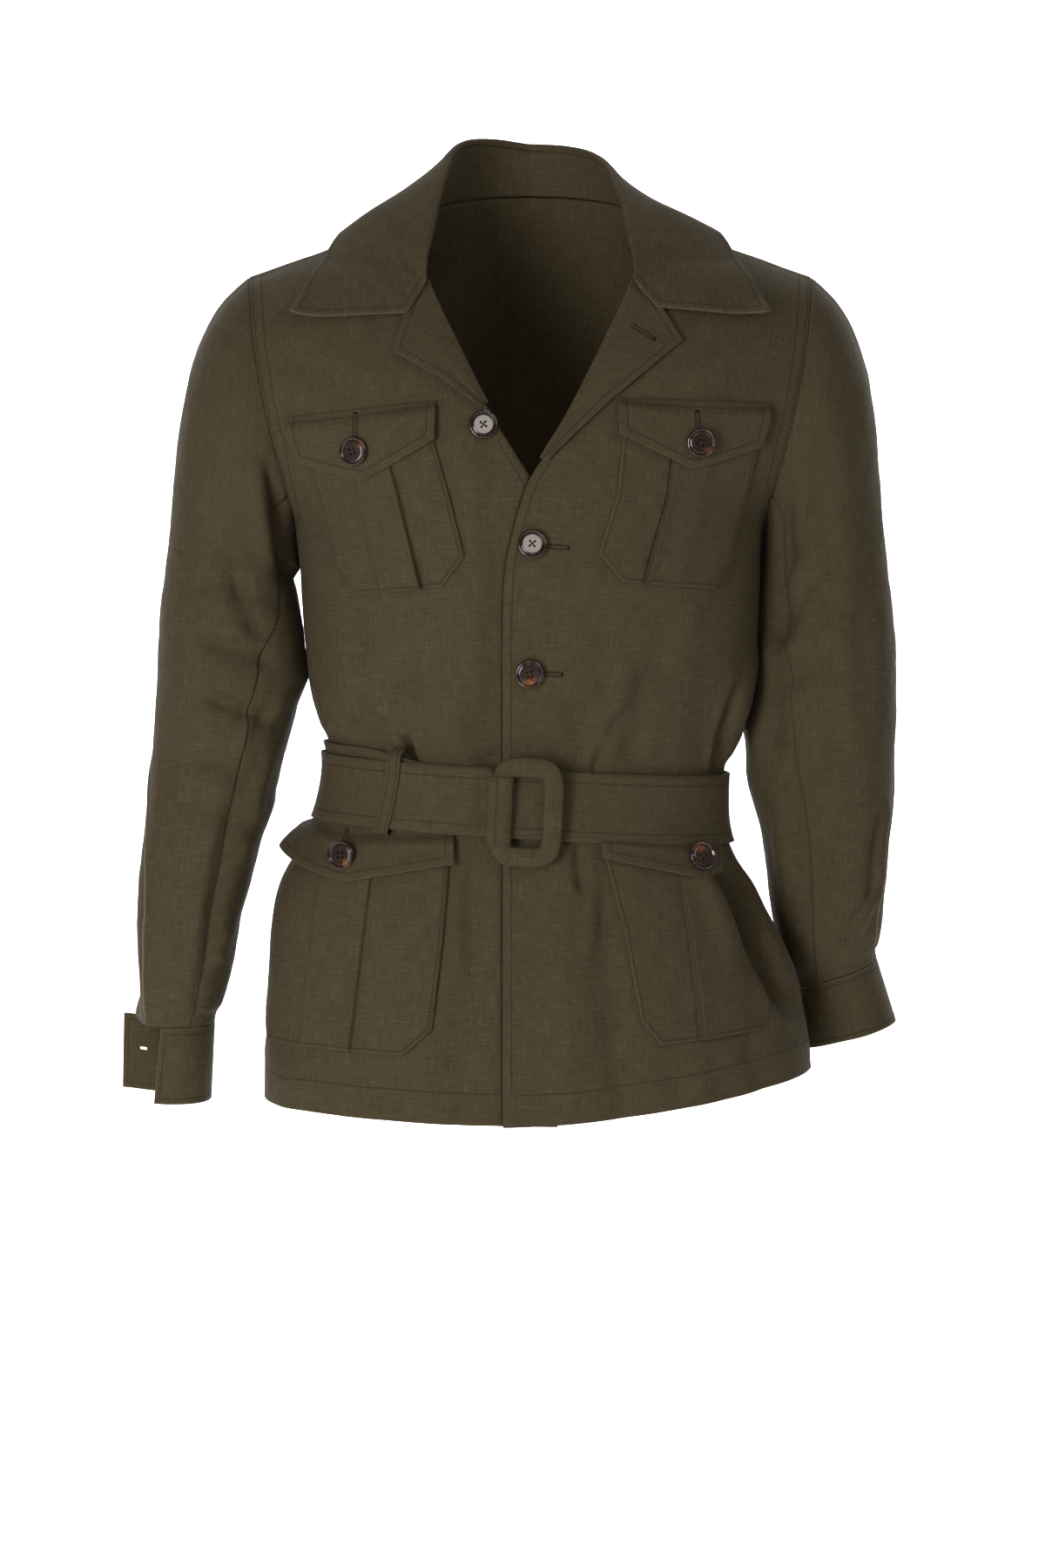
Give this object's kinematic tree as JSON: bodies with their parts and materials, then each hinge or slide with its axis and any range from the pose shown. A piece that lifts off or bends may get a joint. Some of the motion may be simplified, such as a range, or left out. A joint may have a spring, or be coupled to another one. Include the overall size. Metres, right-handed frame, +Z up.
{
  "type": "belted linen safari jacket",
  "caption": "Long-sleeved linen safari jacket in worn form: notched collar, buttoned front, flapped patch pockets on chest and hips, and a belt with a covered buckle.",
  "frame": {"origin": "middle of the shoulder line at the neck, where the wearer's shoulders carry the jacket", "axes": "+Z up, the front faces -Y, the wearer's left is +X"},
  "size_m": [0.6132, 0.2648, 0.7644],
  "materials": {
    "linen": "dark olive plain-weave linen, matte, slubbed",
    "buttons": "dark tortoiseshell, polished, mottled amber"
  },
  "bodies": {
    "root": {"front_left": "linen", "front_right": "linen", "back": "linen", "sleeve_upper_left": "linen", "sleeve_under_left": "linen", "sleeve_upper_right": "linen", "sleeve_under_right": "linen", "cuff_left": "linen", "cuff_right": "linen", "collar": "linen", "collar_stand": "linen", "lapel_left": "linen", "lapel_right": "linen", "pocket_chest_left": "linen", "pocket_chest_right": "linen", "pocket_hip_left": "linen", "pocket_hip_right": "linen", "flap_chest_left": "linen", "flap_chest_right": "linen", "flap_hip_left": "linen", "flap_hip_right": "linen", "belt": "linen", "belt_end": "linen", "belt_keeper": "linen", "buckle": "linen", "button_front_1": "buttons", "button_front_2": "buttons", "button_front_3": "buttons", "button_chest_left": "buttons", "button_chest_right": "buttons", "button_hip_left": "buttons", "button_hip_right": "buttons", "button_cuff_left": "buttons", "button_cuff_right": "buttons"}
  },
  "joints": []
}
